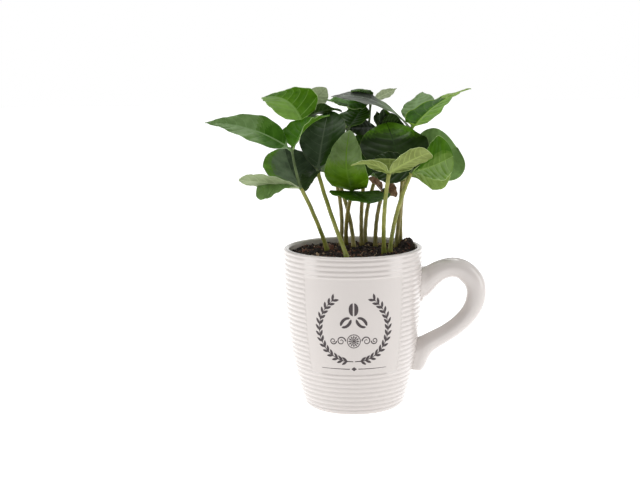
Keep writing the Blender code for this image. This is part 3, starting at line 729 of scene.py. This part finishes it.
# Leaves
VEINS = {"seed": 6, "true": 8}
SWEEP = {"seed": (0.30, 0.6), "true": (0.17, 0.85)}   # how far side veins run towards the tip
QUILT = {"seed": 0.42, "true": 0.38}                 # how far the blade swells between them
ACROSS = (0.13, 0.26, 0.4, 0.54, 0.68, 0.82, 0.94, 0.985, 1.0)
MIDRIB_HALF = 0.85
BROAD = 24.0           # a leaf of this width or more has its relief in full
VEIN_TAPER = 0.55      # the share of its width that a side vein has lost at the margin
RUFFLE = 0.5           # how high the margin's small waves are
STALK_BODY = 0.9       # how much thicker than the blade its stalk is
MARGIN_THINNING = 0.45
RIB_BULGE = 0.45       # how far the midrib stands out below
PATCH_STEPS = 3
PATCH_SOFT = 0.22      # the share of the blade over which a patch sets in


def half_width(leaf, share):
    """Half the blade's width at a share of its length."""
    stalk = leaf["stalk"]
    blade = np.clip((share - stalk) / (1 - stalk), 0, 1) ** (math.log(0.5) / math.log(leaf["peak"]))
    swell = np.maximum(0, np.sin(np.pi * blade))
    swell = swell ** np.where(blade < 0.5, *leaf["blunt"])
    least = TIP_HALF_WIDTH + (STALK_HALF_WIDTH - TIP_HALF_WIDTH) * (1 - blade)
    return np.maximum(swell * leaf["width"] / 2, least)


def grid_rows(leaf):
    """Rows along the midrib: their middles, their offsets across a vein, and where the veins start."""
    stalk = leaf["stalk"]
    count = VEINS[leaf["kind"]] if leaf["length"] > 15 else 3
    starts = stalk + (1 - stalk) * (np.arange(count) + 0.45) / (count + 0.75)
    half = VEIN / 2 / leaf["length"]
    middles = list(np.linspace(0, starts[0], 5)[:-1])
    offsets = [0.0] * 4
    for start, after in zip(starts, [*starts[1:], 1.0]):
        middles += [start] * 3
        offsets += [-half, 0.0, half]
        between = np.linspace(start, after, 5)[1:-1]
        middles += list(between)
        offsets += [0.0] * 3
    tip = np.linspace(between[-1], 1, 4)[1:]
    return np.array(middles + list(tip)), np.array(offsets + [0.0] * 3), starts


def blade_surface(leaf, root, share, side, swell):
    """Points of the blade's middle surface. swell is how far each stands up from it."""
    heading, rise = math.radians(leaf["heading"]), math.radians(leaf["rise"])
    level = np.array((math.cos(heading), math.sin(heading), 0))
    reach = level * math.cos(rise) + UP * math.sin(rise)
    left = np.cross(UP, level)
    above = np.cross(reach, left)
    tip = root + reach * leaf["length"]
    control = (root + tip) / 2 + above * 2 * leaf["arch"]
    turn = np.radians(leaf["roll"] + leaf["twist"] * share)[..., None]
    outward = np.cos(turn) * left + np.sin(turn) * above
    normal = np.cos(turn) * above - np.sin(turn) * left
    fold = math.radians(leaf["fold"]) * np.minimum(1, np.minimum(6 * share, 6 * (1 - share)))
    half = half_width(leaf, share)
    wave = leaf["wave"] * np.sin(math.tau * (WAVES * share + np.copysign(0.2, side))) * side ** 2
    lift = half * np.abs(side) * np.sin(fold) + wave + swell
    return bend(root, control, tip, share) + outward * (half * side * np.cos(fold))[..., None] \
        + normal * lift[..., None]


def make_leaf(leaf, root):
    """One leaf as a thin closed blade whose grid follows its side veins."""
    middles, offsets, starts = grid_rows(leaf)
    stalk = leaf["stalk"]
    sweep, power = SWEEP[leaf["kind"]]
    rib = np.minimum(0.5, MIDRIB_HALF * (1 - 0.75 * middles) / half_width(leaf, middles))[:, None]
    one_side = np.concatenate([rib, rib + (1 - rib) * np.array(ACROSS)], axis=1)
    side = np.concatenate([-one_side[:, ::-1], np.zeros((len(middles), 1)), one_side], axis=1)
    out = np.abs(side)
    along = middles[:, None] + offsets[:, None] * (1 - VEIN_TAPER * out)
    blade = np.clip((along - stalk) / (1 - stalk), 0, 1)
    share = along + sweep * np.sin(np.pi * blade ** power) * (0.4 * out + 0.6 * out ** 2)
    bounds = np.concatenate([[stalk], starts, [1.0]])
    cell = np.clip(np.searchsorted(bounds, along, side="right") - 1, 0, len(bounds) - 2)
    between = np.clip((along - bounds[cell]) / (bounds[cell + 1] - bounds[cell]), 0, 1)
    size = min(1.0, leaf["width"] / BROAD)
    swell = QUILT[leaf["kind"]] * size * np.sin(np.pi * between) ** 1.3 * (1 - 0.35 * out) * ease(out * 5)
    swell = swell + RUFFLE * size * leaf_ruffle(leaf, share, side)
    middle = blade_surface(leaf, root, np.clip(share, 0, 1), side, swell)
    normal = unit(np.cross(np.gradient(middle, axis=0), np.gradient(middle, axis=1)))
    stalk_body = STALK_BODY * (1 - ease(along / (2.2 * max(stalk, 0.03))))
    thick = (BLADE + stalk_body) * (1 - MARGIN_THINNING * ease((out - 0.9) / 0.1))
    rib_bulge = RIB_BULGE * size * np.exp(-(out / (rib * 1.2)) ** 2) * (1 - 0.7 * along)
    over = middle + normal * (thick / 2)[..., None]
    under = middle - normal * (thick / 2 + rib_bulge)[..., None]
    rows, columns = side.shape
    points = np.vstack([over.reshape(-1, 3), under.reshape(-1, 3)])
    sheet = grid_faces(rows, columns)
    count = rows * columns
    index = np.arange(count).reshape(rows, columns)
    rim = np.concatenate([index[:-1, 0], index[-1, :-1], index[:0:-1, -1], index[0, :0:-1]])
    border = np.stack([np.roll(rim, -1), rim, rim + count, np.roll(rim, -1) + count], axis=-1)
    upper, lower = face_finish(leaf, middles, offsets, side, share)
    return points, [sheet[:, ::-1], sheet + count, border], [upper, lower, EDGE]


def leaf_ruffle(leaf, share, side):
    """The small waves of a leaf's margin, which differ from leaf to leaf."""
    phase = leaf["heading"] * 0.37 + leaf["length"]
    return np.sin(math.tau * 4.3 * share + phase + np.sign(side)) * np.abs(side) ** 3


def face_finish(leaf, middles, offsets, side, share):
    """The finish of each face on the upper and on the lower side. On a patch of painted light or painted
    shade its units are the finish below, its tens the steps from there to the patch, and its hundreds the
    patch."""
    columns = side.shape[1]
    on_vein = (np.abs(offsets[:-1] + offsets[1:]) > 0) & (middles[:-1] == middles[1:])
    centre = columns // 2
    column = np.arange(columns - 1)
    on_rib = (column == centre - 1) | (column == centre)
    inside = (column > 1) & (column < columns - 3)
    marked = (on_vein[:, None] & inside) | on_rib
    rim = (column == 0) | (column == columns - 2)
    marked |= (share[:-1, :-1] < leaf["stalk"])
    upper = np.where(marked, VEIN_UPPER, UPPER)
    lower = np.where(marked, VEIN_UNDER, UNDER)
    uneven = 0.03 * np.sin(19 * share + 3 * side + leaf["length"])
    # Each patch blends part of the blade, in steps, into its painted light or painted shade
    for way, past, finish in leaf["patches"]:
        at = {"left": side, "right": -side, "tip": share, "base": 1 - share}[way] + uneven
        step = np.round(((at[:-1, :-1] - past) / PATCH_SOFT + 0.5) * PATCH_STEPS)
        code = 100 * finish + 10 * np.clip(step, 0, PATCH_STEPS).astype(int)
        patched = (step > 0) & ~on_rib & (share[:-1, :-1] >= leaf["stalk"])
        upper = np.where(patched, upper % 10 + code, upper)
        lower = np.where(patched, lower % 10 + code, lower)
    upper = np.where(rim, EDGE, upper)
    lower = np.where(rim, EDGE, lower)
    return upper.ravel(), lower.ravel()


def make_crown(name, row, along, shoot):
    """A seedling's neck and its leaves."""
    node = np.array(row["node"], float)
    add_piece("neck_" + name, neck_tubes(row, along), [shoot], ["crown_" + name])
    parts = []
    finishes = []
    grown = [(leaf, node) for leaf in row["low"]]
    if row["top"]:
        grown += [(leaf, np.array(row["top"], float)) for leaf in row["high"]]
    for leaf, root in grown:
        points, groups, kinds = make_leaf(leaf, root)
        if leaf["tint"] == "husk":
            points = crumple(points)
        placed = []
        for kind in kinds:
            codes, which = np.unique(kind, return_inverse=True)
            used = [leaf_finish(leaf["tint"], int(code)) for code in codes]
            finishes += [finish for finish in used if finish not in finishes]
            placed.append(np.array([finishes.index(finish) for finish in used])[which])
        parts.append((points, groups, placed))
    add_piece("leaves_" + name, parts, finishes, ["crown_" + name])


def crumple(points):
    """Dry husk, creased and curled."""
    shift = [noise.noise_vector(Vector(point) / 3.0) for point in points]
    return points + 0.9 * np.array(shift)


# Finishes
def glaze_finish():
    """Glazed stoneware: a warm white glaze fired over turned clay, glassy, with a soft orange-peel."""
    made = new_material("white_stoneware_glaze", "D3CCC8", 0.16, IOR=1.52, Coat_Weight=0.4,
                        Coat_Roughness=0.05)
    roughen(made, "TexNoise", 5, 0.02, Detail=2)
    return made


def mixed(hex_a, hex_b, share):
    """The hex colour at a share of the way from one to the other."""
    pairs = [(int(hex_a[i:i + 2], 16), int(hex_b[i:i + 2], 16)) for i in (0, 2, 4)]
    return "".join("%02X" % round(a + (b - a) * share) for a, b in pairs)


# What each part of a leaf is called, its roughness, and its colour by tint. Light and dark are patches of
# painted light and painted shade
PART_NAMES = ("upper", "under", "vein_upper", "vein_under", "edge", "light", "dark")
PART_ROUGHNESS = (0.36, 0.5, 0.42, 0.55, 0.5)
MOTTLE = 0.1
LEAF_TINTS = {
    # Very dark green: the leaf's own green deepened by painted shade
    "painted_shade_green": ("182C06", "2A4410", "20370E", "445A30", "56633C", "4C7A10", "0E1A0A"),
    "deep": ("2A4E02", "3C6210", "35591A", "3C6020", "5E7A3A", "6E8E40", "1A2E0C"),
    "mid": ("4C7306", "567A1A", "587B1C", "66883A", "7F9A58", "5E7640", "2A4E02"),
    "fresh": ("386A00", "457403", "467414", "6E9440", "9DB578", "618929", "2F5604"),
    "soft": ("688A48", "6E8C4C", "64823E", "7A9452", "8FA670", "76904C", "38601A"),
    "bright": ("648630", "6E8F36", "7F9E4A", "86A350", "A3BC7A", "8CA850", "3C6A00"),
    "lime": ("548000", "568206", "6C921E", "7A9C3A", "7C9E3C", "9AAE70", "2C5800"),
    # Grey-green: a painted sheen over the leaf's green; its dark patch is the unsheened green at the base
    "painted_sheen_green": ("66854C", "6C8A50", "708E58", "82A068", "93A884", "8FA67A", "2F5C00"),
    # Near-black green with grey veins: dark green deepened by painted shade
    "painted_shade_dusk": ("2E3D27", "334329", "4A5742", "525F4B", "56633C", "4C7A10", "1C3608"),
    # Grey-green: a painted sheen over dark green, for a leaf with a lit strip and a shaded half
    "painted_sheen_slate": ("677B5C", "687A5E", "66785C", "6E8060", "7F8E6A", "5E8A2E", "3A4A34"),
    "pale": ("839166", "909F74", "8E9C72", "9CAA80", "B4C09E", "98A87C", "6A8048"),
    "straw": ("7E8E46", "828F4C", "8A9A52", "93A25A", "B6C688", "98A868", "66782E"),
    # Grey: a painted sheen over the leaf's green, with a patch of painted light at the base
    "painted_sheen_grey": ("53594F", "5A6055", "7C8478", "868C80", "9CA296", "6E845C", "4C6238"),
    "husk": ("94745A", "A6886C", "7E5E46", "7E5E46", "B89C7E", "B89C7E", "6A4A36"),
}


def leaf_finish(tint, code):
    """Coffee leaf: a waxy cuticle over thin tissue, satin above and matt below. Veins are paler."""
    base, step, patch = code % 10, code // 10 % 10, code // 100
    name = "leaf_" + tint + "_" + PART_NAMES[base]
    colour = LEAF_TINTS[tint][base]
    # A patch mixes the colour in steps towards the painted light or painted shade of its tint
    if patch:
        name += "_" + PART_NAMES[patch] + str(step)
        # Veins stay a little visible under a patch's painted light or shade
        most = 0.7 if base in (VEIN_UPPER, VEIN_UNDER) else 1.0
        colour = mixed(colour, LEAF_TINTS[tint][patch], most * step / PATCH_STEPS)
    if name not in bpy.data.materials:
        made = new_material(name, colour, PART_ROUGHNESS[base], IOR=1.46, Specular_IOR_Level=0.12)
        if base in (UPPER, UNDER):
            mottle(made, mixed(colour, "000000", MOTTLE), mixed(colour, "FFFFFF", MOTTLE / 2), 6)
        # The mesh of finest veins is about 0.8 mm wide
        roughen(made, "TexVoronoi", 0.8, 0.05 if base != UNDER else 0.08, feature="DISTANCE_TO_EDGE")
    return bpy.data.materials[name]


def stem_finish(name, low, high):
    """Bark of a first-year shoot, green to olive, faintly mottled, with a waxy sheen."""
    made = new_material(name, low, 0.42, IOR=1.46)
    mottle(made, low, high, 6)
    roughen(made, "TexNoise", 0.7, 0.08, Detail=3)
    return made


def soil_finish(name, colour, other):
    """Moist potting compost: dark fibres and crumbs, matt, a little damp sheen."""
    made = new_material(name, colour, 0.85)
    mottle(made, colour, other, 1.6)
    roughen(made, "TexNoise", 0.5, 0.25, Detail=4)
    return made


# The studio
def add_light(name, place, aim, size, power, colour="FFFFFF"):
    """A soft rectangular light, in metres and watts."""
    data = bpy.data.lights.new(name, "AREA")
    data.shape = "RECTANGLE"
    data.size, data.size_y = size
    data.energy = power
    data.color = linear(colour)[:3]
    light = bpy.data.objects.new(name, data)
    light.matrix_world = Matrix.Translation(place) @ (Vector(aim) - Vector(place)).to_track_quat(
        "-Z", "Y").to_matrix().to_4x4()
    bpy.context.scene.collection.objects.link(light)


def add_studio():
    """A pale floor, a white surround, and soft lights from above and both sides."""
    floor = bpy.data.meshes.new("studio_floor")
    reach = 5.0
    floor.from_pydata([(-reach, -reach, 0), (reach, -reach, 0), (reach, reach, 0), (-reach, reach, 0)], [],
                      [(0, 1, 2, 3)])
    # Opal acrylic sheet, matt and lit from below, so that no hard shadow falls on it
    floor.materials.append(new_material("opal_light_table", "B4B4B4", 0.9, Emission_Color=(1, 1, 1, 1),
                                        Emission_Strength=0.95))
    floor = bpy.data.objects.new("studio_floor", floor)
    bpy.context.scene.collection.objects.link(floor)
    world = bpy.data.worlds.new("white_surround")
    world.use_nodes = True
    tree = world.node_tree
    way = add_node(tree, "TexCoord")
    parts = add_node(tree, "SeparateXYZ", links={"Vector": way.outputs["Generated"]})
    side = add_node(tree, "MapRange", {"From Min": -0.75, "From Max": 0.45, "To Min": 0.35, "To Max": 1.0},
                    {"Value": parts.outputs["Y"]}, interpolation_type="SMOOTHSTEP")
    band = add_node(tree, "MapRange", {"From Min": 0.15, "From Max": 0.5, "To Min": 1.0, "To Max": 0.1},
                    {"Value": parts.outputs["Z"]}, interpolation_type="SMOOTHSTEP")
    strength = add_node(tree, "Math", links={0: side.outputs["Result"], 1: band.outputs["Result"]},
                        operation="MULTIPLY")
    tree.links.new(strength.outputs["Value"], tree.nodes["Background"].inputs["Strength"])
    tree.nodes["Background"].inputs["Color"].default_value = (1, 1, 1, 1)
    bpy.context.scene.world = world
    bpy.context.scene.view_settings.view_transform = "Standard"
    middle = (0, 0, 0.12)
    add_light("softbox_above", (-0.1, 0.35, 1.0), middle, (0.9, 0.7), 6.0)
    add_light("softbox_left", (-1.1, -0.3, 0.4), middle, (0.5, 1.0), 4.5)
    add_light("softbox_right", (1.1, -0.3, 0.4), middle, (0.5, 1.0), 4.5)
    # An even light from the whole ceiling
    ceiling = bpy.data.lights.new("ceiling", "SUN")
    ceiling.energy = 1.1
    ceiling.angle = math.radians(110)
    bpy.context.scene.collection.objects.link(bpy.data.objects.new("ceiling", ceiling))


# The camera stands 74 cm in front of the mug's axis, a little above the leaves
CAMERA_PLACE = (0, -0.744, 0.225)
CAMERA_AIM = (-0.0213, 0, 0.1083)
CAMERA_ROLL = -0.843
CAMERA_LENS = 65.25


def add_camera():
    """A camera with a long lens and a slight roll."""
    data = bpy.data.cameras.new("camera")
    data.lens = CAMERA_LENS
    data.sensor_width = 36
    camera = bpy.data.objects.new("camera", data)
    forward = (Vector(CAMERA_AIM) - Vector(CAMERA_PLACE)).normalized()
    right = forward.cross(Vector((0, 0, 1))).normalized()
    upright = Matrix((right, right.cross(forward), -forward)).transposed().to_4x4()
    roll = Matrix.Rotation(math.radians(CAMERA_ROLL), 4, "Z")
    camera.matrix_world = Matrix.Translation(CAMERA_PLACE) @ upright @ roll
    bpy.context.scene.collection.objects.link(camera)
    bpy.context.scene.camera = camera


add_camera()
add_studio()
white_glaze = glaze_finish()
# Unglazed stoneware on the foot ring, matt and a little sandy
bare_foot = new_material("bare_stoneware", "B9A890", 0.8)
# Ceramic transfer ink, fired on the glaze, dark and satin
transfer_ink = new_material("ceramic_transfer_ink", "3D3335", 0.35, IOR=1.5)
make_mug(white_glaze, bare_foot)
make_handle(white_glaze)
make_emblem(transfer_ink)
humus = soil_finish("damp_humus", "231A16", "40302A")
make_soil(humus)
crumb_finishes = [humus, soil_finish("peat_crumb", "120D0C", "261B17"),
                  soil_finish("bark_crumb", "5A382C", "80543F"),
                  soil_finish("dry_fibre", "8C745C", "B49C80")]
for loose in LOOSE:
    scatter_crumbs(*loose, crumb_finishes)
green_shoot = stem_finish("green_shoot_bark", "727A2B", "949544")
olive_shoot = stem_finish("olive_shoot_bark", "6E6A2C", "8A7E40")
neck_shoot = stem_finish("young_shoot_bark", "44562A", "5C6E40")
for name, row in SEEDLINGS.items():
    shoot = green_shoot if name in GREEN_STEMS else olive_shoot
    stem_end = make_stem(name, row, shoot)
    make_crown(name, row, stem_end, neck_shoot)
